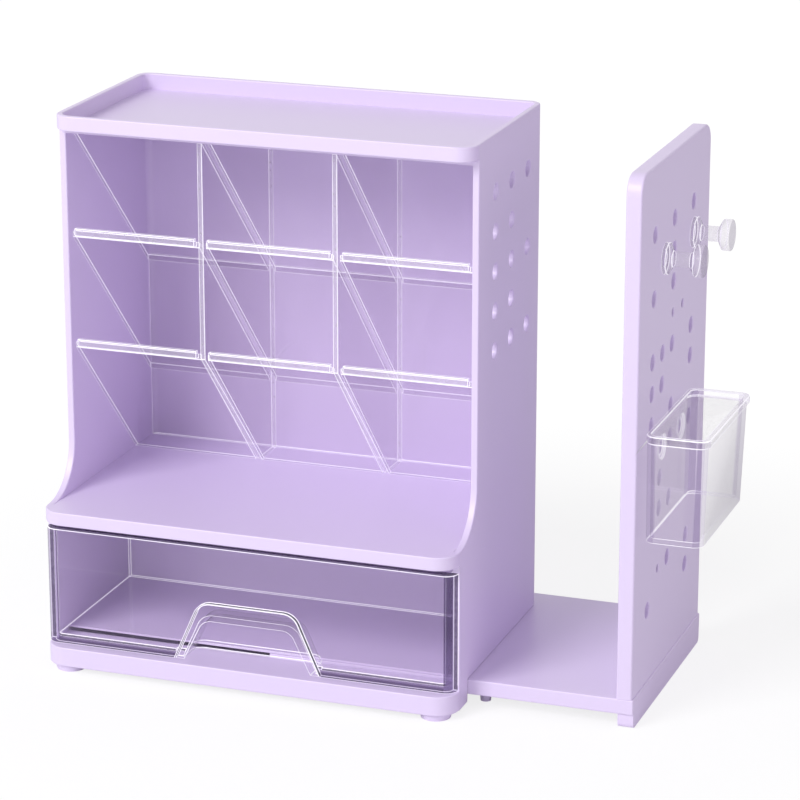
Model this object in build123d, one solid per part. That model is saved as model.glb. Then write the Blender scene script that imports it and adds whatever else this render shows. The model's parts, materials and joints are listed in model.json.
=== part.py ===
"""Desk organizer: a cabinet with sloping clear cells and a drawer, and a slide-out wing.

Millimetres, +Z up, the front faces -Y. While it is drawn, X = 0 is the middle of the
cabinet, Y = 0 the upper front edge of its side panels and Z = 0 the desk. export() then
moves the origin to the middle of the whole object's footprint.
"""
from build123d import *
import os

os.makedirs("parts", exist_ok=True)

# ---------------------------------------------------------------- cabinet shell
CABINET_WIDTH = 250.0
PANEL = 4.0                 # thickness of the side, back and floor panels
UPPER_DEPTH = 117.0         # front edge of the upper side panels to the back
SHELF_OVERHANG = 43.0       # shelf and base front, ahead of the upper side panels
DRAWER_BAY_OVERHANG = 30.0  # lower side panels' front edge, ahead of the upper one
TOTAL_HEIGHT = 322.0
TRAY_FASCIA_HEIGHT = 8.6
TRAY_OVERHANG = 11.0
TRAY_DEPTH = 9.5            # rim to tray floor
TRAY_FLOOR = 2.5
TRAY_RIM = 3.5
TRAY_STEP = 2.5             # floor of the part of the tray that overhangs
BACK_CORNER_RADIUS = 8.0
BACK_RETURN = 12.0          # depth of the back panel's wrapped-round sides
SHELF_TOP = 98.0
SHELF_THICKNESS = 8.0
FOOT_HEIGHT = 4.0
BASE_FASCIA_HEIGHT = 11.5
EDGE_ROUND = 0.8            # softened edges of the moulded panels
FOOT_DIAMETER = 19.0
FOOT_TAPER = 1.0            # how much smaller the foot's radius is at the desk
FOOT_INSET_X = 13.0         # foot axis from the cabinet's side
FOOT_INSET_Y = 11.0         # foot axis from the base's front and from its back

# ---------------------------------------------------------------- peg holes
PEG_HOLE_DIAMETER = 9.4
PEG_HOLE_BEVEL = 0.5
SIDE_HOLE_FIRST_Y = 29.5
SIDE_HOLE_PITCH_Y = 29.5
SIDE_HOLE_TOP_Z = 289.0
SIDE_HOLE_PITCH_Z = 22.8
SIDE_HOLE_MAP = ("ooo", "oo.", "ooo", "oo.", "ooo")   # rows from the top, front to back

# ---------------------------------------------------------------- clear insert
CLEAR_SHEET = 2.5           # inclined plates and the plate at the back
CLEAR_FIT = 0.3             # glue line round every clear sheet
DIVIDER = 3.0
DIVIDER_OFFSET = 40.3       # divider's mid plane from the cabinet's middle
DIVIDER_FRONT_Y = 2.0
CLEAR_BACK_TOP = 212.0
LIP_WIDTH = 74.0
LIP_HEIGHT = 4.5
LIP_DEPTH = 2.8
UPPER_LIP_TOP = 254.0
LOWER_LIP_TOP = 188.3
TOP_PLATE_FRONT_Y = 11.0    # where the top plate leaves the tray's underside
TOP_PLATE_REAR_DROP = 0.5   # its rear end below the top of the clear back plate
MIDDLE_PLATE_REAR_Z = 143.5
BOTTOM_PLATE_REAR_Y = 89.0  # where the bottom plate meets the shelf

# ---------------------------------------------------------------- drawer
DRAWER_FRONT_SETBACK = 5.0  # drawer front behind the shelf's front
DRAWER_SIDE_GAP = 0.4
DRAWER_TOP_GAP = 4.0
DRAWER_BOTTOM_GAP = 0.8     # front plate above the base
DRAWER_FRONT_WALL = 3.0
DRAWER_WALL = 2.6
DRAWER_FLOOR = 2.0
DRAWER_CORNER_RADIUS = 8.0
DRAWER_BACK_Y = 70.5
DRAWER_STOP_GAP = 0.5
DRAWER_RUN_GAP = 0.3        # floor of the drawer above the deck it runs on
DECK = 1.2
BAY_BACK = 3.0
PULL_HALF_BOTTOM = 38.5     # finger opening, half its width at the bottom
PULL_HALF_TOP = 26.5
PULL_TOP_Z = 41.0
PULL_CORNER = 8.0
PULL_DEPTH = 19.0
PULL_BACK_ROUND = 5.0
PULL_WALL = 2.0
PULL_FRAME_SIDE = 5.6       # frame round the opening: beside it and above it
PULL_FRAME_TOP = 10.5
PULL_FRAME_THICK = 4.6
PULL_FRAME_RECESS = 0.6     # frame's face behind the drawer's face

# ---------------------------------------------------------------- slide-out wing
WING_PLATE = 9.0
WING_PANEL = 9.0
WING_FRONT_Y = -15.0
WING_BACK_Y = 130.0
WING_PANEL_FACE_X = 220.6   # outer face of the upright panel
WING_EDGE_STEP = 0.9        # plate's edge beyond the upright panel's face
WING_TRAVEL = 85.0
WING_OVERLAP = 116.0        # plate still inside the cabinet when it is pulled out
WING_TOP_Z = 315.0
WING_CORNER_RADIUS = 11.0
WING_PANEL_ROUND = 1.2
SLIDE_GAP = 0.3
SKID_WIDTH = 9.0
SKID_INSET_Y = 1.0
SKID_TOE_RADIUS = 3.0
WING_FOOT_DIAMETER = 7.0
WING_FOOT_X = 131.0
WING_FOOT_Y = 0.0
SLOT_SIDE_GAP = 0.6
STOP_PIN_DIAMETER = 6.0
STOP_PIN_INSET = 6.0        # stop pin's axis from the plate's inner end
STOP_PIN_Y = 54.0
WING_HOLE_FIRST_Y = 14.0
WING_HOLE_PITCH_Y = 20.25
WING_HOLE_TOP_Z = 276.5
WING_HOLE_PITCH_Z = 18.0
SMALL_HOLE_DIAMETER = 5.0
WING_HOLE_MAP = (           # rows from the top, front to back; s is a small hole
    "o.o.o",
    ".oo.o",
    "o.o.o",
    "..ss.",
    "ooo.o",
    "oo..o",
    "o.o..",
    ".oooo",
    ".o...",
    ".oo..",
    ".....",
    ".so.o",
    "o...o",
)

# ---------------------------------------------------------------- pegs, bin, screws
STUD_CLEARANCE = 0.07       # stud to peg hole, radial
STUD_LENGTH = 8.0
SEAT_GAP = 0.1              # flange to panel
PEG_FLANGE_DIAMETER = 18.0
PEG_FLANGE = 2.4
PEG_SHAFT_DIAMETER = 8.8
PEG_SHAFT_LENGTH = 15.0
PEG_HEAD_DIAMETER = 18.0
PEG_HEAD = 5.0
PEG_CONE = 2.4
UPPER_PEG_CELL = (4, 1)     # column and row of the wing's hole map
LOWER_PEG_CELL = (1, 1)
BIN_STUD_CELLS = ((1, 7), (3, 7))
BIN_FRONT_Y = -5.6
BIN_LENGTH = 97.6
BIN_REACH = 36.0
BIN_BOTTOM_Z = 106.0
BIN_HEIGHT = 62.5
BIN_WALL = 2.2
BIN_BACK_GAP = 1.4
BIN_CORNER_RADIUS = 6.0
BIN_TAPER = 2.0             # how much narrower the bin is at its bottom, on each side
BIN_RIM_HEIGHT = 4.5
BIN_RIM_PROUD = 1.2
BIN_BOSS_DIAMETER = 14.0
SCREW_DIAMETER = 3.0
SCREW_FIT = 0.05            # round the screw, in the piece that it bites
SCREW_CLEAR = 0.2           # round the screw, in the piece that it clamps
SCREW_HEAD_DIAMETER = 6.0
SCREW_HEAD = 2.4
WING_SCREW_BITE = 12.0
WING_SCREW_FIRST_Y = 10.0
WING_SCREW_PITCH = 44.0
SHELF_SCREW_BITE = 10.0
SHELF_SCREW_PITCH = 80.0

# ---------------------------------------------------------------- worked-out places
HALF_WIDTH = CABINET_WIDTH / 2
INNER_HALF = HALF_WIDTH - PANEL
INNER_CORNER = BACK_CORNER_RADIUS - PANEL
BACK_INNER_Y = UPPER_DEPTH - PANEL
SHELF_UNDER = SHELF_TOP - SHELF_THICKNESS
TRAY_FASCIA_Z = TOTAL_HEIGHT - TRAY_FASCIA_HEIGHT
TRAY_FLOOR_Z = TOTAL_HEIGHT - TRAY_DEPTH
TRAY_UNDER = TRAY_FLOOR_Z - TRAY_FLOOR
BASE_FLOOR_TOP = FOOT_HEIGHT + PANEL
BASE_LEDGE_TOP = FOOT_HEIGHT + BASE_FASCIA_HEIGHT
WING_PLATE_UNDER = BASE_FLOOR_TOP + SLIDE_GAP
WING_PLATE_TOP = WING_PLATE_UNDER + WING_PLATE
WING_SLOT_TOP = WING_PLATE_TOP + SLIDE_GAP
WING_SLOT_FRONT = WING_FRONT_Y - SLIDE_GAP
WING_EDGE_X = WING_PANEL_FACE_X + WING_EDGE_STEP
WING_PLATE_IN_X = HALF_WIDTH - WING_OVERLAP - PANEL
DECK_TOP = WING_SLOT_TOP + DECK
DRAWER_FACE_Y = DRAWER_FRONT_SETBACK - SHELF_OVERHANG
DRAWER_HALF = INNER_HALF - DRAWER_SIDE_GAP
DRAWER_FRONT_HALF = HALF_WIDTH - DRAWER_SIDE_GAP
DRAWER_RETURN_Y = -DRAWER_BAY_OVERHANG - DRAWER_SIDE_GAP
DRAWER_FRONT_Z = BASE_LEDGE_TOP + DRAWER_BOTTOM_GAP
DRAWER_TOP_Z = SHELF_UNDER - DRAWER_TOP_GAP
DRAWER_UNDER_Z = DECK_TOP + DRAWER_RUN_GAP
CLEAR_BACK_FRONT_Y = BACK_INNER_Y - CLEAR_FIT - CLEAR_SHEET
PEG_HOLE_RADIUS = PEG_HOLE_DIAMETER / 2
STUD_RADIUS = PEG_HOLE_RADIUS - STUD_CLEARANCE
BIN_BACK_X = WING_PANEL_FACE_X + BIN_BACK_GAP
FAR = 1000.0                # reach of cutting shapes

# the whole object's footprint, for the origin
OBJECT_X = (-HALF_WIDTH, BIN_BACK_X + BIN_REACH)
OBJECT_Y = (-SHELF_OVERHANG, WING_BACK_Y)
ORIGIN = Vector(sum(OBJECT_X) / 2, sum(OBJECT_Y) / 2, 0)


# ---------------------------------------------------------------- shapes
def block(x0, x1, y0, y1, z0, z1):
    """A box between two corners."""
    middle = Pos((x0 + x1) / 2, (y0 + y1) / 2, (z0 + z1) / 2)
    return middle * Box(x1 - x0, y1 - y0, z1 - z0)


def slab(x0, x1, y0, y1, z0, z1, front_radius=0.0, back_radius=0.0):
    """A box whose upright edges are rounded, the front pair and the back pair apart."""
    part = block(x0, x1, y0, y1, z0, z1)
    for radius, place in ((front_radius, 0), (back_radius, -1)):
        if radius:
            upright = part.edges().filter_by(Axis.Z).group_by(Axis.Y)[place]
            part = fillet(upright, radius)
    return part


def rod(diameter, axis, x, y, z, length, end_diameter=None):
    """A round bar, or a cone, from a start point along X, Y or Z."""
    turns = {"X": (0, 90, 0), "Y": (-90, 0, 0), "Z": (0, 0, 0)}
    lift = Pos(0, 0, length / 2)
    if end_diameter is None:
        bar = Cylinder(diameter / 2, length)
    else:
        bar = Cone(diameter / 2, end_diameter / 2, length)
    return Pos(x, y, z) * Rot(*turns[axis]) * lift * bar


def extrude_yz(face, x0, x1):
    """Extrude an outline drawn in Y and Z from x0 to x1."""
    return Pos(x0, 0, 0) * extrude(Plane.YZ * face, x1 - x0)


def soften(part, edges, radius=EDGE_ROUND):
    """Round the given edges."""
    return fillet(edges, radius) if len(edges) else part


def level_edges(part, z, tolerance=0.01):
    """The edges that lie at one height."""
    return part.edges().filter_by(lambda e: abs(e.bounding_box().min.Z - z) < tolerance
                                  and abs(e.bounding_box().max.Z - z) < tolerance)


def grid_cell(first_y, pitch_y, top_z, pitch_z, cell):
    """Y and Z of one cell of a hole map."""
    column, row = cell
    return first_y + column * pitch_y, top_z - row * pitch_z


def side_cell(cell):
    return grid_cell(SIDE_HOLE_FIRST_Y, SIDE_HOLE_PITCH_Y, SIDE_HOLE_TOP_Z, SIDE_HOLE_PITCH_Z, cell)


def wing_cell(cell):
    return grid_cell(WING_HOLE_FIRST_Y, WING_HOLE_PITCH_Y, WING_HOLE_TOP_Z, WING_HOLE_PITCH_Z, cell)


def peg_holes(hole_map, cell_place, x0, x1):
    """Cutters for every hole of a map, each with a bevelled mouth on both faces."""
    cutters = []
    for row, marks in enumerate(hole_map):
        for column, mark in enumerate(marks):
            if mark == ".":
                continue
            y, z = cell_place((column, row))
            diameter = PEG_HOLE_DIAMETER if mark == "o" else SMALL_HOLE_DIAMETER
            wide = diameter + 2 * PEG_HOLE_BEVEL
            cutters.append(rod(diameter, "X", x0, y, z, x1 - x0))
            cutters.append(rod(wide, "X", x0, y, z, PEG_HOLE_BEVEL, diameter))
            cutters.append(rod(diameter, "X", x1 - PEG_HOLE_BEVEL, y, z, PEG_HOLE_BEVEL, wide))
    return cutters


# ---------------------------------------------------------------- cabinet
def side_outline():
    """Side panel seen from the side: drawer bay, hollow flare, upright front, back."""
    flare = DRAWER_BAY_OVERHANG
    rear = UPPER_DEPTH - BACK_RETURN
    front = Line((-flare, FOOT_HEIGHT), (-flare, SHELF_TOP))
    sweep_up = CenterArc((-flare, SHELF_TOP + flare), flare, -90, 90)
    rest = Polyline((0, SHELF_TOP + flare), (0, TRAY_UNDER), (rear, TRAY_UNDER),
                    (rear, FOOT_HEIGHT), (-flare, FOOT_HEIGHT))
    return make_face(front + sweep_up + rest)


def side_panel(x0, x1):
    """A side panel with its front edges softened."""
    panel = extrude_yz(side_outline(), x0, x1)
    front = panel.edges().filter_by(
        lambda e: e.bounding_box().max.Y < 0.01
        and e.bounding_box().max.Z > SHELF_TOP + 1
        and e.bounding_box().size.X < 0.01)
    return soften(panel, front)


def left_side_panel():
    return side_panel(-HALF_WIDTH, -INNER_HALF)


def right_side_panel():
    panel = side_panel(INNER_HALF, HALF_WIDTH)
    panel -= block(0, FAR, WING_SLOT_FRONT, FAR, 0, WING_SLOT_TOP)
    for cutter in peg_holes(SIDE_HOLE_MAP, side_cell, INNER_HALF, HALF_WIDTH):
        panel -= cutter
    return panel


def shelf_screw_places():
    return [(i * SHELF_SCREW_PITCH, (SHELF_TOP + SHELF_UNDER) / 2) for i in (-1, 0, 1)]


def back_panel():
    """The back, wrapped round both rear corners, open below where the wing slides."""
    outer = slab(-HALF_WIDTH, HALF_WIDTH, 0, UPPER_DEPTH, FOOT_HEIGHT, TRAY_UNDER,
                 back_radius=BACK_CORNER_RADIUS)
    inner = slab(-INNER_HALF, INNER_HALF, -1, BACK_INNER_Y, 0, FAR, back_radius=INNER_CORNER)
    panel = outer - inner
    panel -= block(-FAR, FAR, -FAR, UPPER_DEPTH - BACK_RETURN, 0, FAR)
    left_reach = WING_PLATE_IN_X - WING_TRAVEL - PANEL
    panel -= block(left_reach, FAR, -FAR, FAR, 0, WING_SLOT_TOP)
    for x, z in shelf_screw_places():
        clear = SCREW_DIAMETER + 2 * SCREW_CLEAR
        wide = SCREW_HEAD_DIAMETER + 2 * SCREW_CLEAR
        panel -= rod(clear, "Y", x, BACK_INNER_Y, z, PANEL)
        panel -= rod(wide, "Y", x, UPPER_DEPTH - SCREW_HEAD, z, SCREW_HEAD)
    return panel


def top_tray():
    """Shallow tray: a fascia that overhangs the front and a rim all round."""
    fascia = slab(-HALF_WIDTH, HALF_WIDTH, -TRAY_OVERHANG, UPPER_DEPTH, TRAY_FASCIA_Z,
                  TOTAL_HEIGHT, TRAY_OVERHANG, BACK_CORNER_RADIUS)
    fascia = soften(fascia, level_edges(fascia, TRAY_FASCIA_Z))
    lower = slab(-HALF_WIDTH, HALF_WIDTH, 0, UPPER_DEPTH, TRAY_UNDER,
                 TRAY_FASCIA_Z + TRAY_STEP, EDGE_ROUND, BACK_CORNER_RADIUS)
    tray = fascia + lower
    inner_x = HALF_WIDTH - TRAY_RIM
    back = UPPER_DEPTH - TRAY_RIM
    well = slab(-inner_x, inner_x, TRAY_RIM, back, TRAY_FLOOR_Z, FAR,
                back_radius=BACK_CORNER_RADIUS - TRAY_RIM)
    apron = slab(-inner_x, inner_x, TRAY_RIM - TRAY_OVERHANG, back,
                 TRAY_FASCIA_Z + TRAY_STEP, FAR,
                 TRAY_OVERHANG - TRAY_RIM, BACK_CORNER_RADIUS - TRAY_RIM)
    tray -= well
    tray -= apron
    return soften(tray, level_edges(tray, TOTAL_HEIGHT))


def fronted_slab(z0, z1):
    """The rounded front of the shelf or base, ahead of the lower side panels."""
    radius = SHELF_OVERHANG - DRAWER_BAY_OVERHANG
    whole = slab(-HALF_WIDTH, HALF_WIDTH, -SHELF_OVERHANG, 0, z0, z1, radius)
    whole = soften(whole, level_edges(whole, z1))
    whole = soften(whole, level_edges(whole, z0))
    return whole & block(-FAR, FAR, -FAR, -DRAWER_BAY_OVERHANG, -FAR, FAR)


def shelf_panel():
    shelf = fronted_slab(SHELF_UNDER, SHELF_TOP)
    shelf += slab(-INNER_HALF, INNER_HALF, -DRAWER_BAY_OVERHANG, BACK_INNER_Y,
                  SHELF_UNDER, SHELF_TOP, back_radius=INNER_CORNER)
    pilot = SCREW_DIAMETER + 2 * SCREW_FIT
    for x, z in shelf_screw_places():
        shelf -= rod(pilot, "Y", x, BACK_INNER_Y - SHELF_SCREW_BITE, z, SHELF_SCREW_BITE)
    return shelf


def channel(x_low, x_high, y, width):
    """A round-ended slot through the floor of the base."""
    cut = block(x_low, x_high, y - width / 2, y + width / 2, 0, BASE_FLOOR_TOP + 1)
    for x in (x_low, x_high):
        cut += rod(width, "Z", x, y, 0, BASE_FLOOR_TOP + 1)
    return cut


def stop_pin_x():
    return WING_PLATE_IN_X + STOP_PIN_INSET


def base_panel():
    """Base: a raised ledge in front, a floor behind it, channels for the wing."""
    base = fronted_slab(FOOT_HEIGHT, BASE_LEDGE_TOP)
    base += block(-INNER_HALF, INNER_HALF, -DRAWER_BAY_OVERHANG, WING_SLOT_FRONT,
                  FOOT_HEIGHT, BASE_LEDGE_TOP)
    base += slab(-INNER_HALF, INNER_HALF, WING_SLOT_FRONT, BACK_INNER_Y,
                 FOOT_HEIGHT, BASE_FLOOR_TOP, back_radius=INNER_CORNER)
    foot_slot = WING_FOOT_DIAMETER + 2 * SLOT_SIDE_GAP
    base -= channel(WING_FOOT_X - WING_TRAVEL, FAR, WING_FOOT_Y, foot_slot)
    pin_slot = STOP_PIN_DIAMETER + 2 * SLIDE_GAP
    base -= channel(stop_pin_x() - WING_TRAVEL, stop_pin_x(), STOP_PIN_Y, pin_slot)
    return base


def cabinet_feet():
    """Four tapered round feet under the base."""
    feet = []
    x = HALF_WIDTH - FOOT_INSET_X
    for side in (-1, 1):
        for y in (FOOT_INSET_Y - SHELF_OVERHANG, BACK_INNER_Y - FOOT_INSET_Y):
            small = FOOT_DIAMETER - 2 * FOOT_TAPER
            feet.append(rod(small, "Z", side * x, y, 0, FOOT_HEIGHT, FOOT_DIAMETER))
    return Compound(children=feet)


def drawer_deck():
    """Thin floor of the drawer bay, above the wing's plate."""
    return slab(-INNER_HALF, INNER_HALF, WING_SLOT_FRONT, BACK_INNER_Y, WING_SLOT_TOP,
                DECK_TOP, back_radius=INNER_CORNER)


def drawer_bay_back():
    """Wall that closes the bay behind the drawer and stops it."""
    y = DRAWER_BACK_Y + DRAWER_STOP_GAP
    return block(-INNER_HALF, INNER_HALF, y, y + BAY_BACK, DECK_TOP, SHELF_UNDER)


def screw(axis, x, y, z, bite, clamp):
    """A pan-head screw: head at the start point, shank through the clamp into the bite."""
    head = rod(SCREW_HEAD_DIAMETER, axis, x, y, z, SCREW_HEAD)
    shank = rod(SCREW_DIAMETER, axis, x, y, z, SCREW_HEAD + clamp + bite)
    return head + shank


def back_panel_screws():
    """Screws through the back panel into the shelf's rear edge."""
    screws = []
    length = PANEL + SHELF_SCREW_BITE - SCREW_FIT
    for x, z in shelf_screw_places():
        shank = rod(SCREW_DIAMETER, "Y", x, UPPER_DEPTH - length, z, length)
        head = rod(SCREW_HEAD_DIAMETER, "Y", x, UPPER_DEPTH - SCREW_HEAD, z, SCREW_HEAD)
        screws.append(shank + head)
    return Compound(children=screws)


# ---------------------------------------------------------------- clear insert
def sloped_outline(front, rear):
    """A sheet's cross-section from its top front point to its top rear point, cut to
    the space between the shelf, the tray and the clear back plate."""
    (y0, z0), (y1, z1) = front, rear
    length = ((y1 - y0) ** 2 + (z1 - z0) ** 2) ** 0.5
    drop_y = CLEAR_SHEET * (z1 - z0) / length
    drop_z = -CLEAR_SHEET * (y1 - y0) / length
    run_y = CLEAR_SHEET * (y1 - y0) / length * 2
    run_z = CLEAR_SHEET * (z1 - z0) / length * 2
    strip = make_face(Polyline(
        (y0 - run_y, z0 - run_z), (y1 + run_y, z1 + run_z),
        (y1 + run_y + drop_y, z1 + run_z + drop_z), (y0 - run_y + drop_y, z0 - run_z + drop_z),
        (y0 - run_y, z0 - run_z)))
    low = SHELF_TOP + CLEAR_FIT
    high = TRAY_UNDER - CLEAR_FIT
    deep = CLEAR_BACK_FRONT_Y - CLEAR_FIT
    room = make_face(Polyline((DIVIDER_FRONT_Y, low), (deep, low), (deep, high),
                              (DIVIDER_FRONT_Y, high), (DIVIDER_FRONT_Y, low)))
    return strip & room


def plate_line(row):
    """Top front and top rear points of a row's inclined plates."""
    lip_back = DIVIDER_FRONT_Y + LIP_DEPTH
    under_lip = LIP_HEIGHT - CLEAR_SHEET
    lines = {
        "top": ((TOP_PLATE_FRONT_Y, TRAY_UNDER),
                (CLEAR_BACK_FRONT_Y, CLEAR_BACK_TOP - TOP_PLATE_REAR_DROP)),
        "middle": ((lip_back, UPPER_LIP_TOP - under_lip),
                   (CLEAR_BACK_FRONT_Y, MIDDLE_PLATE_REAR_Z)),
        "bottom": ((lip_back, LOWER_LIP_TOP - under_lip), (BOTTOM_PLATE_REAR_Y, SHELF_TOP)),
    }
    return lines[row]


def column_span(column):
    """Left and right ends of a column's plates."""
    inner = DIVIDER_OFFSET - DIVIDER / 2 - CLEAR_FIT
    outer = DIVIDER_OFFSET + DIVIDER / 2 + CLEAR_FIT
    side = INNER_HALF - CLEAR_FIT
    return {"left": (-side, -outer), "middle": (-inner, inner), "right": (outer, side)}[column]


def cell_plate(row, column):
    """One inclined plate; the middle and bottom rows have a lip along their front."""
    front, rear = plate_line(row)
    x0, x1 = column_span(column)
    plate = extrude_yz(sloped_outline(front, rear), x0, x1)
    if row == "top":
        return plate
    lip_top = UPPER_LIP_TOP if row == "middle" else LOWER_LIP_TOP
    plate -= block(-FAR, FAR, -FAR, DIVIDER_FRONT_Y + LIP_DEPTH, -FAR, FAR)
    middle = (x0 + x1) / 2
    plate += block(middle - LIP_WIDTH / 2, middle + LIP_WIDTH / 2, DIVIDER_FRONT_Y,
                   DIVIDER_FRONT_Y + LIP_DEPTH, lip_top - LIP_HEIGHT, lip_top)
    return plate


def divider(side):
    """Upright divider: straight in front, cut away below along the bottom plates."""
    low = SHELF_TOP + CLEAR_FIT
    high = TRAY_UNDER - CLEAR_FIT
    deep = CLEAR_BACK_FRONT_Y - CLEAR_FIT
    front_low = LOWER_LIP_TOP - LIP_HEIGHT
    outline = make_face(Polyline(
        (DIVIDER_FRONT_Y, high), (DIVIDER_FRONT_Y, front_low),
        (BOTTOM_PLATE_REAR_Y - CLEAR_SHEET, low), (deep, low), (deep, high),
        (DIVIDER_FRONT_Y, high)))
    x = side * DIVIDER_OFFSET
    return extrude_yz(outline, x - DIVIDER / 2, x + DIVIDER / 2)


def clear_back_plate():
    side = INNER_HALF - CLEAR_FIT
    plate = block(-side, side, CLEAR_BACK_FRONT_Y, BACK_INNER_Y - CLEAR_FIT,
                  SHELF_TOP + CLEAR_FIT, CLEAR_BACK_TOP)
    keep = slab(-side, side, 0, BACK_INNER_Y - CLEAR_FIT, 0, FAR, back_radius=INNER_CORNER)
    return plate & keep


# ---------------------------------------------------------------- drawer
def arch(half_bottom, half_top, top, corner, y0, y1):
    """A solid arch with sloping sides, from below the drawer's front to its top."""
    low = DRAWER_FRONT_Z
    outline = make_face(Polyline((-half_bottom, low), (-half_top, top), (half_top, top),
                                 (half_bottom, low), (-half_bottom, low)))
    upper = outline.vertices().group_by(Axis.Y)[-1]
    outline = fillet(upper, corner)
    return Pos(0, y1, 0) * extrude(Plane.XZ * outline, y1 - y0)


def pull_shell(grow, front, back):
    """The finger pull's hollow, or the same shape grown on every side but the front."""
    shell = arch(PULL_HALF_BOTTOM + grow, PULL_HALF_TOP + grow, PULL_TOP_Z + grow,
                 PULL_CORNER + grow, front, back + grow)
    rear = shell.faces().sort_by(Axis.Y)[-1].edges().filter_by(
        lambda e: e.bounding_box().max.Z > DRAWER_FRONT_Z + 1)
    return fillet(rear, PULL_BACK_ROUND + grow / 2)


def pull_frame(grow, front, back):
    """The arched outline of the finger pull's frame, or the same grown by a gap."""
    return arch(PULL_HALF_BOTTOM + PULL_FRAME_SIDE + grow, PULL_HALF_TOP + PULL_WALL + grow,
                PULL_TOP_Z + PULL_FRAME_TOP + grow, PULL_CORNER + PULL_WALL + grow, front, back)


def drawer_pull():
    """Clear finger pull set into the drawer front: an arched frame and the hollow behind
    it, open at the bottom."""
    face = DRAWER_FACE_Y + PULL_FRAME_RECESS
    back = DRAWER_FACE_Y + PULL_DEPTH
    pull = pull_frame(0, face, DRAWER_FACE_Y + PULL_FRAME_THICK)
    pull += pull_shell(PULL_WALL, face, back)
    return pull - pull_shell(0, DRAWER_FACE_Y - 1, back)


def drawer_front():
    """Clear drawer front, wrapped round both corners and cut out round the finger pull."""
    front = slab(-DRAWER_FRONT_HALF, DRAWER_FRONT_HALF, DRAWER_FACE_Y, DRAWER_RETURN_Y,
                 DRAWER_FRONT_Z, DRAWER_TOP_Z, DRAWER_CORNER_RADIUS - DRAWER_SIDE_GAP * 2)
    inner = DRAWER_FRONT_HALF - DRAWER_FRONT_WALL
    front -= slab(-inner, inner, DRAWER_FACE_Y + DRAWER_FRONT_WALL, 0, 0, FAR,
                  DRAWER_CORNER_RADIUS - DRAWER_FRONT_WALL)
    return front - pull_frame(CLEAR_FIT, DRAWER_FACE_Y - 1, 0)


def drawer_box():
    """Clear box of the drawer: floor, sides and back, notched round the finger pull."""
    front_y = DRAWER_FACE_Y + DRAWER_FRONT_WALL + CLEAR_FIT
    box = slab(-DRAWER_HALF, DRAWER_HALF, front_y, DRAWER_BACK_Y, DRAWER_UNDER_Z, DRAWER_TOP_Z,
               DRAWER_CORNER_RADIUS - DRAWER_FRONT_WALL)
    room = DRAWER_HALF - DRAWER_WALL
    box -= block(-room, room, front_y - 1, DRAWER_BACK_Y - DRAWER_WALL,
                 DRAWER_UNDER_Z + DRAWER_FLOOR, FAR)
    box -= pull_shell(PULL_WALL + CLEAR_FIT, DRAWER_FACE_Y, DRAWER_FACE_Y + PULL_DEPTH)
    frame_y = DRAWER_FACE_Y + PULL_FRAME_THICK + CLEAR_FIT
    frame_half = PULL_HALF_BOTTOM + PULL_FRAME_SIDE + CLEAR_FIT
    box -= block(-frame_half, frame_half, front_y - 1, frame_y, 0,
                 DRAWER_UNDER_Z + DRAWER_FLOOR + 1)
    return box


# ---------------------------------------------------------------- wing
def wing_screw_places():
    x = WING_PANEL_FACE_X - WING_PANEL / 2
    return [(x, WING_SCREW_FIRST_Y + i * WING_SCREW_PITCH) for i in range(3)]


def wing_base_plate():
    """Sliding plate with a skid along its outer edge."""
    plate = block(WING_PLATE_IN_X, WING_EDGE_X, WING_FRONT_Y, WING_BACK_Y,
                  WING_PLATE_UNDER, WING_PLATE_TOP)
    plate = soften(plate, plate.edges().filter_by(
        lambda e: e.bounding_box().max.Y < WING_FRONT_Y + 0.01
        or e.bounding_box().min.X > WING_EDGE_X - 0.01))
    skid = block(WING_EDGE_X - SKID_WIDTH, WING_EDGE_X, WING_FRONT_Y + SKID_INSET_Y,
                 WING_BACK_Y - SKID_INSET_Y, 0, WING_PLATE_UNDER + EDGE_ROUND)
    toe = skid.edges().filter_by(Axis.X).group_by(Axis.Z)[0]
    skid = fillet(toe, SKID_TOE_RADIUS)
    plate += skid
    for x, y in wing_screw_places():
        clear = SCREW_DIAMETER + 2 * SCREW_CLEAR
        wide = SCREW_HEAD_DIAMETER + 2 * SCREW_CLEAR
        plate -= rod(clear, "Z", x, y, 0, WING_PLATE_TOP)
        plate -= rod(wide, "Z", x, y, 0, FOOT_HEIGHT)
    pin_hole = STOP_PIN_DIAMETER + 2 * SCREW_FIT
    plate -= rod(pin_hole, "Z", stop_pin_x(), STOP_PIN_Y, 0, WING_PLATE_UNDER + WING_PLATE / 2)
    return plate


def wing_upright_panel():
    """Thick upright panel with the staggered peg holes."""
    x0 = WING_PANEL_FACE_X - WING_PANEL
    panel = block(x0, WING_PANEL_FACE_X, WING_FRONT_Y, WING_BACK_Y, WING_PLATE_TOP, WING_TOP_Z)
    top = panel.edges().filter_by(Axis.X).group_by(Axis.Z)[-1]
    panel = fillet(top, WING_CORNER_RADIUS)
    rim = panel.edges().filter_by(
        lambda e: e.bounding_box().size.X < 0.01 and e.bounding_box().max.Z > WING_PLATE_TOP + 1)
    panel = soften(panel, rim, WING_PANEL_ROUND)
    for cutter in peg_holes(WING_HOLE_MAP, wing_cell, x0, WING_PANEL_FACE_X):
        panel -= cutter
    pilot = SCREW_DIAMETER + 2 * SCREW_FIT
    for x, y in wing_screw_places():
        panel -= rod(pilot, "Z", x, y, WING_PLATE_TOP, WING_SCREW_BITE)
    return panel


def wing_foot():
    """Small round foot under the sliding plate, beside the cabinet."""
    return rod(WING_FOOT_DIAMETER - FOOT_TAPER, "Z", WING_FOOT_X, WING_FOOT_Y, 0,
               WING_PLATE_UNDER, WING_FOOT_DIAMETER)


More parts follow.
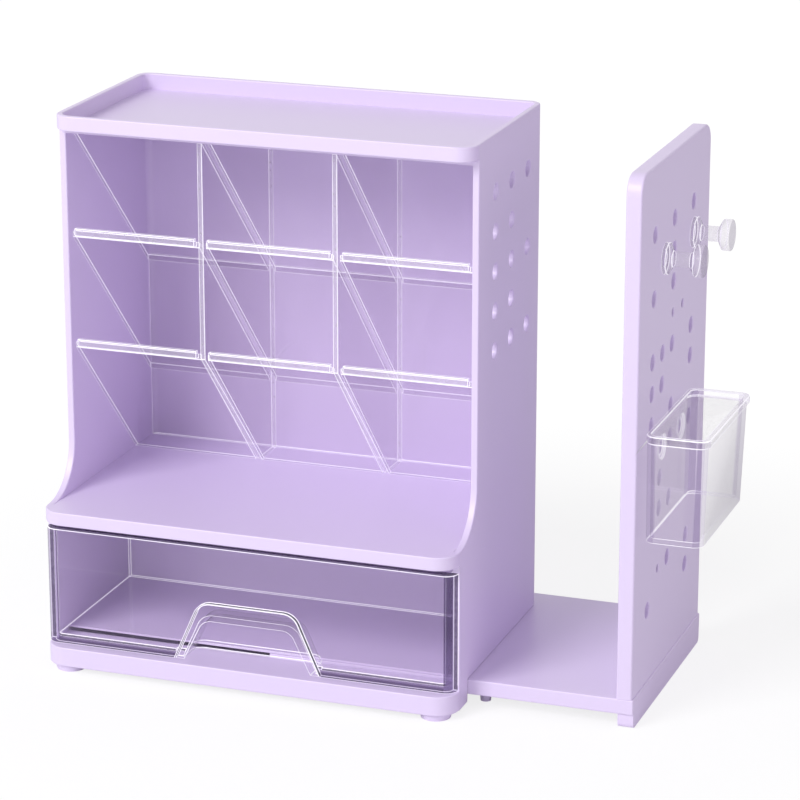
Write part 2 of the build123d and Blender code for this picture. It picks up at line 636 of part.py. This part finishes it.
def wing_stop_pin():
    """Pin under the inner end of the plate that runs in the base's channel."""
    low = FOOT_HEIGHT + SLIDE_GAP
    return rod(STOP_PIN_DIAMETER, "Z", stop_pin_x(), STOP_PIN_Y, low,
               WING_PLATE_UNDER + WING_PLATE / 2 - SCREW_FIT - low)


def wing_screws():
    """Screws up through the skid and the plate into the upright panel."""
    screws = []
    clamp = WING_PLATE_TOP - FOOT_HEIGHT
    for x, y in wing_screw_places():
        screws.append(screw("Z", x, y, FOOT_HEIGHT - SCREW_HEAD, WING_SCREW_BITE - SCREW_FIT, clamp))
    return Compound(children=screws)


# ---------------------------------------------------------------- pegs and bin
def stud(cell):
    """The part of an accessory that sits in a peg hole."""
    y, z = wing_cell(cell)
    start = WING_PANEL_FACE_X + SEAT_GAP - STUD_LENGTH
    return rod(2 * STUD_RADIUS, "X", start, y, z, STUD_LENGTH)


def peg(cell):
    """Clear peg: stud, flange, shaft and a flared head."""
    y, z = wing_cell(cell)
    face = WING_PANEL_FACE_X + SEAT_GAP
    flange = rod(PEG_FLANGE_DIAMETER, "X", face, y, z, PEG_FLANGE)
    cone_x = face + PEG_FLANGE
    cone = rod(PEG_FLANGE_DIAMETER, "X", cone_x, y, z, PEG_CONE, PEG_SHAFT_DIAMETER)
    shaft = rod(PEG_SHAFT_DIAMETER, "X", face, y, z, PEG_FLANGE + PEG_SHAFT_LENGTH)
    head_x = face + PEG_FLANGE + PEG_SHAFT_LENGTH
    flare = rod(PEG_SHAFT_DIAMETER, "X", head_x - PEG_CONE, y, z, PEG_CONE, PEG_HEAD_DIAMETER)
    head = rod(PEG_HEAD_DIAMETER, "X", head_x, y, z, PEG_HEAD)
    outer = head.faces().sort_by(Axis.X)[-1].edges()
    head = fillet(outer, EDGE_ROUND)
    return stud(cell) + flange + cone + shaft + flare + head


def bin_outline(z, inset, radius, back_wall=0.0):
    """Plan outline of the bin at one height, drawn in from its widest outline."""
    x0 = BIN_BACK_X + back_wall
    x1 = BIN_BACK_X + BIN_REACH - inset
    y0 = BIN_FRONT_Y + inset
    y1 = BIN_FRONT_Y + BIN_LENGTH - inset
    outline = Pos((x0 + x1) / 2, (y0 + y1) / 2, z) * Rectangle(x1 - x0, y1 - y0)
    return fillet(outline.vertices(), radius)


def accessory_box():
    """Clear open bin with a thick rim, hung by studs in two peg holes."""
    top = BIN_BOTTOM_Z + BIN_HEIGHT
    floor_z = BIN_BOTTOM_Z + BIN_WALL
    low_inset = BIN_RIM_PROUD + BIN_TAPER
    inner_radius = BIN_CORNER_RADIUS - BIN_WALL
    shell = loft([bin_outline(BIN_BOTTOM_Z, low_inset, BIN_CORNER_RADIUS),
                  bin_outline(top, BIN_RIM_PROUD, BIN_CORNER_RADIUS)])
    rim = extrude(bin_outline(top - BIN_RIM_HEIGHT, 0, BIN_CORNER_RADIUS), BIN_RIM_HEIGHT)
    room = loft([bin_outline(floor_z, low_inset + BIN_WALL, inner_radius, BIN_WALL),
                 bin_outline(top + 1, BIN_RIM_PROUD + BIN_WALL, inner_radius, BIN_WALL)])
    box = shell + rim - room
    for cell in BIN_STUD_CELLS:
        y, z = wing_cell(cell)
        face = WING_PANEL_FACE_X + SEAT_GAP
        box += rod(BIN_BOSS_DIAMETER, "X", face, y, z, BIN_BACK_GAP - SEAT_GAP)
        box += stud(cell)
    return box


# ---------------------------------------------------------------- write the pieces
PIECES = {
    "left_side_panel": left_side_panel,
    "right_side_panel": right_side_panel,
    "back_panel": back_panel,
    "top_tray": top_tray,
    "shelf_panel": shelf_panel,
    "base_panel": base_panel,
    "cabinet_feet": cabinet_feet,
    "drawer_deck": drawer_deck,
    "drawer_bay_back": drawer_bay_back,
    "back_panel_screws": back_panel_screws,
    "clear_back_plate": clear_back_plate,
    "divider_left": lambda: divider(-1),
    "divider_right": lambda: divider(1),
    "drawer_box": drawer_box,
    "drawer_front": drawer_front,
    "drawer_pull": drawer_pull,
    "wing_base_plate": wing_base_plate,
    "wing_upright_panel": wing_upright_panel,
    "wing_foot": wing_foot,
    "wing_stop_pin": wing_stop_pin,
    "wing_screws": wing_screws,
    "peg_upper": lambda: peg(UPPER_PEG_CELL),
    "peg_lower": lambda: peg(LOWER_PEG_CELL),
    "accessory_box": accessory_box,
}
for plate_row in ("top", "middle", "bottom"):
    for plate_column in ("left", "middle", "right"):
        name = f"cell_plate_{plate_row}_{plate_column}"
        PIECES[name] = lambda row=plate_row, column=plate_column: cell_plate(row, column)


def export():
    """Write one STEP file for each piece, about the object's own origin."""
    for name, make in PIECES.items():
        export_step(Location(-ORIGIN) * make(), f"parts/{name}.step")


export()
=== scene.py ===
"""Looks of the desk organizer: materials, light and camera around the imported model."""
import json
import math

import bmesh
import bpy
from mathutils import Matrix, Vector

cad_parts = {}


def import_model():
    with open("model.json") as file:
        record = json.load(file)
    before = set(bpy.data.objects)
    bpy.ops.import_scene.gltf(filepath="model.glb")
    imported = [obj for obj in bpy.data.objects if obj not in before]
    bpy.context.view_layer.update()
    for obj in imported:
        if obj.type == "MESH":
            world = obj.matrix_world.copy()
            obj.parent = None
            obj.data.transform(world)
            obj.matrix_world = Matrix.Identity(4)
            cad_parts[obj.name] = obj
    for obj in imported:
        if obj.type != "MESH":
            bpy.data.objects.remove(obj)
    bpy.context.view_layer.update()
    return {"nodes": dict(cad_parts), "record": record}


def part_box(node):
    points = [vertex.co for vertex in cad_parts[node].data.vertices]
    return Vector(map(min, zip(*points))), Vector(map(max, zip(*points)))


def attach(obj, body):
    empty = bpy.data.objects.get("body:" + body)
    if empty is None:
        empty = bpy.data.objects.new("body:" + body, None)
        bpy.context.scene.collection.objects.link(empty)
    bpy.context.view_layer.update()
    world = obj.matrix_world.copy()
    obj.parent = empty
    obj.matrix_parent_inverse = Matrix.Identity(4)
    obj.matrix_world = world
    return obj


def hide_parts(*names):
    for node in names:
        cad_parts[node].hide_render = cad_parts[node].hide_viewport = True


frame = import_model()
NODES = frame["nodes"]
SUBPARTS = frame["record"]["subparts"]

# ---------------------------------------------------------------- named values
MM = 0.001

# camera, placed from the cabinet: its middle, its upper front edge and the desk
LENS_MM = 152.22
SENSOR_MM = 36.0
CAMERA_YAW = math.radians(19.497)
CAMERA_PITCH = math.radians(17.247)
CAMERA_FROM_CABINET = Vector((680.463, -1697.952, 731.983)) * MM
CLIP_START, CLIP_END = 0.05, 60
TRAY_OVERHANG = 11.0 * MM

# colours, linear
LAVENDER = (0.73, 0.63, 0.852)
SHEET_TINT = (0.95, 0.94, 0.957)
MOULDED_TINT = (0.99, 0.983, 0.994)
# cloudy white of cut edges and of the painted highlight lines, and the colour of their
# painted glow
EDGE_WHITE = (0.96, 0.95, 1.0)
# painted shade: the dark tint of clear walls seen edge on, standing in for dark refraction
# lines
PAINTED_EDGE_SHADE = (0.24, 0.20, 0.29)
# painted shade on the rounded upright corners of the drawer's front
CORNER_PAINTED_SHADE = (0.60, 0.56, 0.66)
# painted shade: the low band of the drawer, where the dark gap below its floor shows through
BAND_PAINTED_SHADE = (0.50, 0.46, 0.55)
BIN_TINT = (0.998, 0.994, 1.0)
# painted shade on the bin's rounded corners
BIN_CORNER_PAINTED_SHADE = (0.86, 0.83, 0.90)
STEEL = (0.62, 0.62, 0.65)
WHITE = (1.0, 1.0, 1.0)
PAPER = (0.92, 0.92, 0.93)
FILL_COLOUR = (0.97, 0.96, 1.0)
SIDE_COLOUR = (0.94, 0.76, 1.0)

# satin plastic; noise scales are per metre
SATIN_ROUGHNESS = 0.36
FOOT_ROUGHNESS = 0.45
SATIN_ROUGHNESS_SPREAD = 0.03
SATIN_CLOUD = 9.0
SATIN_CLOUD_SPREAD = 0.012
SATIN_GRAIN = 2600.0
GRAIN_STRENGTH = 0.05
GRAIN_HEIGHT = 0.02 * MM
PLASTIC_IOR = 1.5

# clear plastic
CLEAR_CLOUD = 14.0
CLEAR_CLOUD_SPREAD = 0.004
CLEAR_ROUGHNESS_RANGE = (0.012, 0.028)
WALL_GLANCE = 8.0           # power of the glance at which painted shade darkens a wall
PEG_GLANCE = 2.5
BIN_GLANCE = 12.0
PAINTED_GLANCE_SHADE = 0.75          # share of the painted shade tint in a wall seen edge on
MIRROR_GLANCE = 5.0
MIRROR_RANGE = (0.02, 0.5)  # share mirrored, seen square on and edge on
BAND_TOP = 19.6 * MM        # height of the drawer's lower band of painted shade, the gap below its floor seen through the front
BAND_BLUR = 0.4 * MM

# cut edges of clear plastic
SPECK = 420.0
SPECK_SPREAD = 0.04
CLOUDY_SPREAD = 0.12
CUT_ROUGHNESS = 0.22

# zinc-plated steel
STREAK = 900.0
STREAK_STRETCH = (1, 1, 6)
STREAK_SPREAD = 0.06
STEEL_ROUGHNESS_RANGE = (0.28, 0.42)

# meshes of the clear pieces
EDGE_BEVEL = 0.4 * MM       # polished bevel along every edge of a clear piece; it carries the painted highlight line
BIN_BEVEL = 0.55 * MM
BEVEL_ANGLE = math.radians(35)
BEVEL_SEGMENTS = 2
SAME_PLACE = 0.01 * MM
FLAT_ANGLE = math.radians(0.5)
WALL_SLOT, CUT_SLOT, LINE_SLOT, CORNER_SLOT = range(4)

# which way a face looks, as the size of its normal along an axis
ALONG = 0.9
ACROSS = 0.1
ROUND_LEAST, ROUND_MOST = 0.12, 0.99
PEG_ACROSS = 0.3

# where a face lies on its piece
ARCH_INSET = 30.0 * MM      # the pull's arch starts this far in from the front's ends
AT_THE_END = 1.0 * MM
FRONT_DEPTH = 5.0 * MM

# floor and world
FLOOR_SIZE = 40
FADE_START, FADE_END = 0.25, 0.55
FLOOR_GLOW_LEAST = 0.78
FLOOR_GLOW = 1.02
FILL = 0.50

# lamps: name, place, size, power, colour
LAMP_AIM = (0.0, 0.0, 0.15)
LAMPS = (("key", (-1.6, -3.0, 2.6), 1.9, 108.0, WHITE),
         ("front", (0.2, -3.0, 1.1), 1.2, 8.0, WHITE),
         ("side", (2.6, -0.5, 1.0), 1.2, 7.0, SIDE_COLOUR))


# ---------------------------------------------------------------- node helpers
def new_material(name):
    """An empty node material and its tree."""
    material = bpy.data.materials.new(name)
    material.use_nodes = True
    material.node_tree.nodes.clear()
    return material, material.node_tree


def add(tree, kind, **values):
    """A node with its inputs set by name; spaces in a name are written as underscores."""
    node = tree.nodes.new(kind)
    for key, value in values.items():
        node.inputs[key.replace("_", " ")].default_value = value
    return node


def noise(tree, scale, detail=3.0, stretch=(1, 1, 1)):
    """A noise value between 0 and 1 over the object's own coordinates."""
    place = tree.nodes.new("ShaderNodeTexCoord")
    mapping = add(tree, "ShaderNodeMapping", Scale=stretch)
    tree.links.new(place.outputs["Object"], mapping.inputs["Vector"])
    texture = add(tree, "ShaderNodeTexNoise", Scale=scale, Detail=detail)
    tree.links.new(mapping.outputs["Vector"], texture.inputs["Vector"])
    return texture.outputs["Fac"]


def remap(tree, value, low, high, start=0.0, end=1.0):
    """Spreads a value between start and end over low to high."""
    node = add(tree, "ShaderNodeMapRange", From_Min=start, From_Max=end,
               To_Min=low, To_Max=high)
    tree.links.new(value, node.inputs["Value"])
    return node.outputs["Result"]


def mix_colour(tree, share, first, second):
    """Blends two colours by a 0-1 socket; a colour is three numbers or a socket."""
    node = tree.nodes.new("ShaderNodeMix")
    node.data_type = "RGBA"
    tree.links.new(share, node.inputs[0])
    for colour, socket in ((first, node.inputs[6]), (second, node.inputs[7])):
        if isinstance(colour, tuple):
            socket.default_value = (*colour, 1)
        else:
            tree.links.new(colour, socket)
    return node.outputs[2]


def vary_colour(tree, colour, value, spread):
    """The colour, made slightly lighter and darker by a 0-1 value."""
    return mix_colour(tree, value, tuple(c * (1 - spread) for c in colour),
                      tuple(min(1, c * (1 + spread)) for c in colour))


def mix_shader(tree, share, first, second):
    """Blends two shaders by a 0-1 socket."""
    node = tree.nodes.new("ShaderNodeMixShader")
    for value, socket in zip((share, first, second), node.inputs):
        tree.links.new(value, socket)
    return node.outputs["Shader"]


def any_ray(tree, first, *others):
    """1 for the rays of the kinds named, as Light Path names them, and 0 for the rest."""
    rays = tree.nodes.new("ShaderNodeLightPath")
    found = rays.outputs[first]
    for kind in others:
        most = tree.nodes.new("ShaderNodeMath")
        most.operation = "MAXIMUM"
        tree.links.new(found, most.inputs[0])
        tree.links.new(rays.outputs[kind], most.inputs[1])
        found = most.outputs[0]
    return found


def glance(tree, power, low, high):
    """Goes from low, where a surface is seen square on, to high, where it is edge on."""
    weight = add(tree, "ShaderNodeLayerWeight", Blend=0.5)
    steep = tree.nodes.new("ShaderNodeMath")
    steep.operation = "POWER"
    steep.inputs[1].default_value = power
    tree.links.new(weight.outputs["Facing"], steep.inputs[0])
    return remap(tree, steep.outputs[0], low, high)


def bump(tree, value, strength, distance):
    """A fine relief from a 0-1 value."""
    node = add(tree, "ShaderNodeBump", Strength=strength, Distance=distance)
    tree.links.new(value, node.inputs["Height"])
    return node.outputs["Normal"]


def output(tree, shader, kind="ShaderNodeOutputMaterial"):
    """Ends a tree with its surface."""
    tree.links.new(shader, tree.nodes.new(kind).inputs["Surface"])


# ---------------------------------------------------------------- materials
def satin_plastic(name, colour, roughness=SATIN_ROUGHNESS):
    """Moulded satin plastic: a fine spark-eroded grain and faint cloudiness."""
    material, tree = new_material(name)
    shader = add(tree, "ShaderNodeBsdfPrincipled", IOR=PLASTIC_IOR)
    cloud = noise(tree, SATIN_CLOUD, 2.0)
    grain = noise(tree, SATIN_GRAIN, 2.0)
    tree.links.new(vary_colour(tree, colour, cloud, SATIN_CLOUD_SPREAD),
                   shader.inputs["Base Color"])
    tree.links.new(remap(tree, cloud, roughness - SATIN_ROUGHNESS_SPREAD,
                         roughness + SATIN_ROUGHNESS_SPREAD), shader.inputs["Roughness"])
    tree.links.new(bump(tree, grain, GRAIN_STRENGTH, GRAIN_HEIGHT), shader.inputs["Normal"])
    output(tree, shader.outputs["BSDF"])
    return material


def lamp_light_through(tree, shader, tint):
    """Lets the lamps' light pass a clear shader, a little tinted."""
    through = add(tree, "ShaderNodeBsdfTransparent", Color=(*tint, 1))
    return mix_shader(tree, any_ray(tree, "Is Shadow Ray"), shader, through.outputs["BSDF"])


def clear_plastic(name, tint, band_top=None, wall_glance=WALL_GLANCE):
    """Clear plastic wall: a faint tint with painted shade mixed in where the wall is seen at
    a glance, and the mirror image of its surroundings. A low band of it may carry painted
    shade."""
    material, tree = new_material(name)
    cloud = noise(tree, CLEAR_CLOUD, 2.0)
    # painted shade: the wall's colour goes towards a dark tint where it is seen edge on
    colour = mix_colour(tree, glance(tree, wall_glance, 0.0, PAINTED_GLANCE_SHADE),
                        vary_colour(tree, tint, cloud, CLEAR_CLOUD_SPREAD), PAINTED_EDGE_SHADE)
    # painted shade: a dark band low on the wall
    if band_top:
        place = tree.nodes.new("ShaderNodeTexCoord")
        split = tree.nodes.new("ShaderNodeSeparateXYZ")
        tree.links.new(place.outputs["Object"], split.inputs["Vector"])
        band = remap(tree, split.outputs["Z"], 1.0, 0.0, band_top - BAND_BLUR,
                     band_top + BAND_BLUR)
        colour = mix_colour(tree, band, colour, BAND_PAINTED_SHADE)
    through = tree.nodes.new("ShaderNodeBsdfTransparent")
    tree.links.new(colour, through.inputs["Color"])
    gloss = add(tree, "ShaderNodeBsdfGlossy", Color=(*WHITE, 1))
    tree.links.new(remap(tree, cloud, *CLEAR_ROUGHNESS_RANGE), gloss.inputs["Roughness"])
    wall = mix_shader(tree, glance(tree, MIRROR_GLANCE, *MIRROR_RANGE),
                      through.outputs["BSDF"], gloss.outputs["BSDF"])
    output(tree, lamp_light_through(tree, wall, tint))
    return material


def cut_edge(name, white, glow, tint=SHEET_TINT):
    """A cut edge of clear plastic: cloudy white, with a painted glow from an emission that
    stands in for light the sheet gathers.
    """
    material, tree = new_material(name)
    speck = noise(tree, SPECK, 3.0)
    # the emission is a painted glow
    body = add(tree, "ShaderNodeBsdfPrincipled", Emission_Strength=glow,
               Roughness=CUT_ROUGHNESS, Emission_Color=(*EDGE_WHITE, 1))
    tree.links.new(vary_colour(tree, EDGE_WHITE, speck, SPECK_SPREAD),
                   body.inputs["Base Color"])
    through = add(tree, "ShaderNodeBsdfTransparent", Color=(*tint, 1))
    cloudy = remap(tree, speck, white - CLOUDY_SPREAD, white + CLOUDY_SPREAD)
    edge = mix_shader(tree, cloudy, through.outputs["BSDF"], body.outputs["BSDF"])
    output(tree, lamp_light_through(tree, edge, SHEET_TINT))
    return material


def zinc_steel(name):
    """Zinc-plated steel with fine streaks."""
    material, tree = new_material(name)
    shader = add(tree, "ShaderNodeBsdfPrincipled", Metallic=1.0)
    streak = noise(tree, STREAK, 2.0, STREAK_STRETCH)
    tree.links.new(vary_colour(tree, STEEL, streak, STREAK_SPREAD),
                   shader.inputs["Base Color"])
    tree.links.new(remap(tree, streak, *STEEL_ROUGHNESS_RANGE), shader.inputs["Roughness"])
    output(tree, shader.outputs["BSDF"])
    return material


MATERIALS = {
    "shell_plastic": satin_plastic("shell_plastic", LAVENDER),
    "foot_plastic": satin_plastic("foot_plastic", LAVENDER, FOOT_ROUGHNESS),
    "clear_sheet": clear_plastic("clear_sheet", SHEET_TINT),
    "clear_moulding": clear_plastic("clear_moulding", MOULDED_TINT),
    "screw_steel": zinc_steel("screw_steel"),
}
DRAWER_WALL = clear_plastic("clear_drawer_wall", MOULDED_TINT, band_top=BAND_TOP)
# painted shade materials for rounded corners
CORNER_SHADE = clear_plastic("clear_corner_painted_shade", CORNER_PAINTED_SHADE)
PEG_WALL = clear_plastic("clear_peg_wall", MOULDED_TINT, wall_glance=PEG_GLANCE)
BIN_WALL = clear_plastic("clear_bin_wall", BIN_TINT, wall_glance=BIN_GLANCE)
BIN_CORNER_SHADE = clear_plastic("clear_bin_corner_painted_shade", BIN_CORNER_PAINTED_SHADE)
# cut faces: real cloudy white with a faint painted glow
CUT_FACE = cut_edge("clear_cut_face", 0.22, 0.05)
# painted shade: dark faces on the drawer's arch, rear and box
PAINTED_SHADE_FACE = cut_edge("clear_painted_shade_face", 0.13, 0.0, PAINTED_EDGE_SHADE)
# painted highlight: the bevels are near white and glow
PAINTED_HIGHLIGHT_LINE = cut_edge("clear_painted_highlight_line", 0.85, 0.3)


def dress_nodes():
    """Gives every node the material of its slot."""
    for part in SUBPARTS:
        node = NODES[part["node"]]
        node.data.materials.clear()
        node.data.materials.append(MATERIALS[part["material_slot"]])


# ---------------------------------------------------------------- clear pieces
def body_of_node(name):
    """The body that carries a CAD node."""
    for body, nodes in frame["record"]["behaviour"]["bodies"].items():
        if name in nodes:
            return body
    return "root"


def slot_of_node(name):
    """The material slot of a CAD node."""
    return next(p["material_slot"] for p in SUBPARTS if p["node"] == name)


def sorted_faces(source, is_cut_face, is_corner):
    """A node's shape with flat faces joined and each face given its material's slot."""
    shape = bmesh.new()
    shape.from_mesh(source)
    bmesh.ops.remove_doubles(shape, verts=shape.verts, dist=SAME_PLACE)
    bmesh.ops.dissolve_limit(shape, angle_limit=FLAT_ANGLE, verts=shape.verts,
                             edges=shape.edges)
    for face in shape.faces:
        face.material_index = CUT_SLOT if is_cut_face(face) else WALL_SLOT
        if is_corner and is_corner(face):
            face.material_index = CORNER_SLOT
    return shape


def bevel_edges(piece, width):
    """Bevels a piece's sharp edges. The overlap isn't clamped, because clamped bevels all but
    vanish on the bin. Known fault: unclamped, they leave stray faces on the bin and folded
    ones on the drawer's box. The drawer's front has folded ones either way."""
    bevel = piece.modifiers.new("edge_bevel", "BEVEL")
    bevel.width = width
    bevel.segments = BEVEL_SEGMENTS
    bevel.limit_method = "ANGLE"
    bevel.angle_limit = BEVEL_ANGLE
    bevel.use_clamp_overlap = False
    # the bevel faces take the painted highlight line
    bevel.material = LINE_SLOT
    bevel.harden_normals = True


def polished_copy(name, is_cut_face, cut=CUT_FACE, wall=None, is_corner=None,
                  corner=CORNER_SHADE, bevel_width=EDGE_BEVEL):
    """Stands for a clear CAD node: the same shape with its edges bevelled. The bevels, the
    cut faces and the rounded corners have materials of their own: the bevels a painted
    highlight, the corners painted shade."""
    mesh = NODES[name].data.copy()
    mesh.name = name + "_polished"
    shape = sorted_faces(mesh, is_cut_face, is_corner)
    slot_name = slot_of_node(name)
    mesh.materials.clear()
    for material in (wall or MATERIALS[slot_name], cut, PAINTED_HIGHLIGHT_LINE, corner):
        mesh.materials.append(material)
    shape.to_mesh(mesh)
    shape.free()
    piece = bpy.data.objects.new(name + "_polished", mesh)
    bpy.context.scene.collection.objects.link(piece)
    bevel_edges(piece, bevel_width)
    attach(piece, body_of_node(name))
    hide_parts(name)
    piece.visible_shadow = False
    piece.visible_diffuse = False


def faces_sideways(face):
    return abs(face.normal.x) > ALONG


def faces_to_front(face):
    return face.normal.y < -ALONG


def clear_insert():
    """The sloping plates, the dividers and the back plate of the cells."""
    for row in ("top", "middle", "bottom"):
        for column in ("left", "middle", "right"):
            polished_copy(f"cell_plate_{row}_{column}",
                          lambda face: faces_sideways(face) or faces_to_front(face))
    for side in ("left", "right"):
        polished_copy(f"divider_{side}", lambda face: not faces_sideways(face))
    polished_copy("clear_back_plate", lambda face: face.normal.z > ALONG)


def is_rounded_upright(face):
    """A facet of an upright rounded corner."""
    return (abs(face.normal.z) < ACROSS
            and ROUND_LEAST < abs(face.normal.x) < ROUND_MOST)


def clear_drawer():
    """The drawer's front, finger pull and box, with painted shade where a wall is seen edge
    on and on cut faces.
    """
    front_low, front_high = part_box("drawer_front")

    def front_cut(face):
        middle = face.calc_center_median()
        in_arch = (abs(face.normal.y) < ACROSS
                   and front_low.x + ARCH_INSET < middle.x < front_high.x - ARCH_INSET)
        at_back = face.normal.y > ALONG and middle.y > front_high.y - AT_THE_END
        return in_arch or at_back

    polished_copy("drawer_front", front_cut, PAINTED_SHADE_FACE, DRAWER_WALL,
                  lambda face: is_rounded_upright(face) and not front_cut(face))
    polished_copy("drawer_pull", lambda face: abs(face.normal.y) < ACROSS
                  and face.calc_center_median().y < front_low.y + FRONT_DEPTH, PAINTED_SHADE_FACE)
    polished_copy("drawer_box", lambda face: faces_to_front(face)
                  and face.calc_center_median().y < front_high.y, PAINTED_SHADE_FACE)


def clear_bin():
    """The hanging bin, with a cloudy rim that has a faint painted glow, and rounded corners
    in painted shade.
    """
    _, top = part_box("accessory_box")
    polished_copy("accessory_box", lambda face: face.normal.z > ALONG
                  and face.calc_center_median().z > top.z - AT_THE_END, CUT_FACE,
                  BIN_WALL, is_rounded_upright, BIN_CORNER_SHADE, BIN_BEVEL)


def clear_pegs():
    """The pegs, whose round rims are cloudy white with a faint painted glow."""
    for name in ("peg_upper", "peg_lower"):
        polished_copy(name, lambda face: abs(face.normal.x) < PEG_ACROSS, CUT_FACE,
                      PEG_WALL)


# ---------------------------------------------------------------- stage, light, camera
def floor():
    """White floor that keeps the object's soft shadow and fades to plain white."""
    bpy.ops.mesh.primitive_plane_add(size=FLOOR_SIZE, location=(0, 0, 0))
    plane = bpy.context.object
    plane.name = "floor"
    material, tree = new_material("floor_white")
    place = tree.nodes.new("ShaderNodeTexCoord")
    length = tree.nodes.new("ShaderNodeVectorMath")
    length.operation = "LENGTH"
    tree.links.new(place.outputs["Object"], length.inputs[0])
    fade = remap(tree, length.outputs["Value"], FLOOR_GLOW_LEAST, 1.0, FADE_START, FADE_END)
    paper = add(tree, "ShaderNodeBsdfDiffuse", Color=(*PAPER, 1))
    paper_seen = add(tree, "ShaderNodeBsdfDiffuse", Color=(*WHITE, 1))
    glow = add(tree, "ShaderNodeEmission", Strength=FLOOR_GLOW, Color=(*WHITE, 1))
    seen = mix_shader(tree, fade, paper_seen.outputs["BSDF"], glow.outputs["Emission"])
    output(tree, mix_shader(tree, any_ray(tree, "Is Camera Ray", "Is Transmission Ray"),
                            paper.outputs["BSDF"], seen))
    plane.data.materials.append(material)


def world():
    """Even white surroundings: plain white where seen, a softer fill as light."""
    scene_world = bpy.data.worlds.new("studio")
    bpy.context.scene.world = scene_world
    scene_world.use_nodes = True
    tree = scene_world.node_tree
    tree.nodes.clear()
    light = add(tree, "ShaderNodeBackground", Color=(*FILL_COLOUR, 1), Strength=FILL)
    white = add(tree, "ShaderNodeBackground", Color=(*WHITE, 1), Strength=1.0)
    seen = any_ray(tree, "Is Camera Ray", "Is Glossy Ray", "Is Transmission Ray")
    output(tree, mix_shader(tree, seen, light.outputs["Background"],
                            white.outputs["Background"]), "ShaderNodeOutputWorld")


def softbox(name, place, size, power, colour):
    """A square area lamp at a place, turned to the object."""
    lamp = bpy.data.lights.new(name, "AREA")
    lamp.size = size
    lamp.energy = power
    lamp.color = colour
    holder = bpy.data.objects.new(name, lamp)
    bpy.context.scene.collection.objects.link(holder)
    holder.location = place
    turn = (Vector(LAMP_AIM) - Vector(place)).to_track_quat("-Z", "Y")
    holder.rotation_euler = turn.to_euler()


def camera():
    """The photograph's view, placed from the cabinet's middle and its upper front edge."""
    left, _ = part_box("left_side_panel")
    _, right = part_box("right_side_panel")
    tray_front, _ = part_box("top_tray")
    origin = Vector(((left.x + right.x) / 2, tray_front.y + TRAY_OVERHANG, 0))
    data = bpy.data.cameras.new("photo_view")
    data.lens = LENS_MM
    data.sensor_width = SENSOR_MM
    holder = bpy.data.objects.new("photo_view", data)
    bpy.context.scene.collection.objects.link(holder)
    holder.location = origin + CAMERA_FROM_CABINET
    holder.rotation_euler = (math.radians(90) - CAMERA_PITCH, 0, CAMERA_YAW)
    data.clip_start, data.clip_end = CLIP_START, CLIP_END
    bpy.context.scene.camera = holder


dress_nodes()
clear_insert()
clear_drawer()
clear_bin()
clear_pegs()
floor()
world()
for lamp_values in LAMPS:
    softbox(*lamp_values)
camera()
bpy.context.scene.view_settings.view_transform = "Standard"
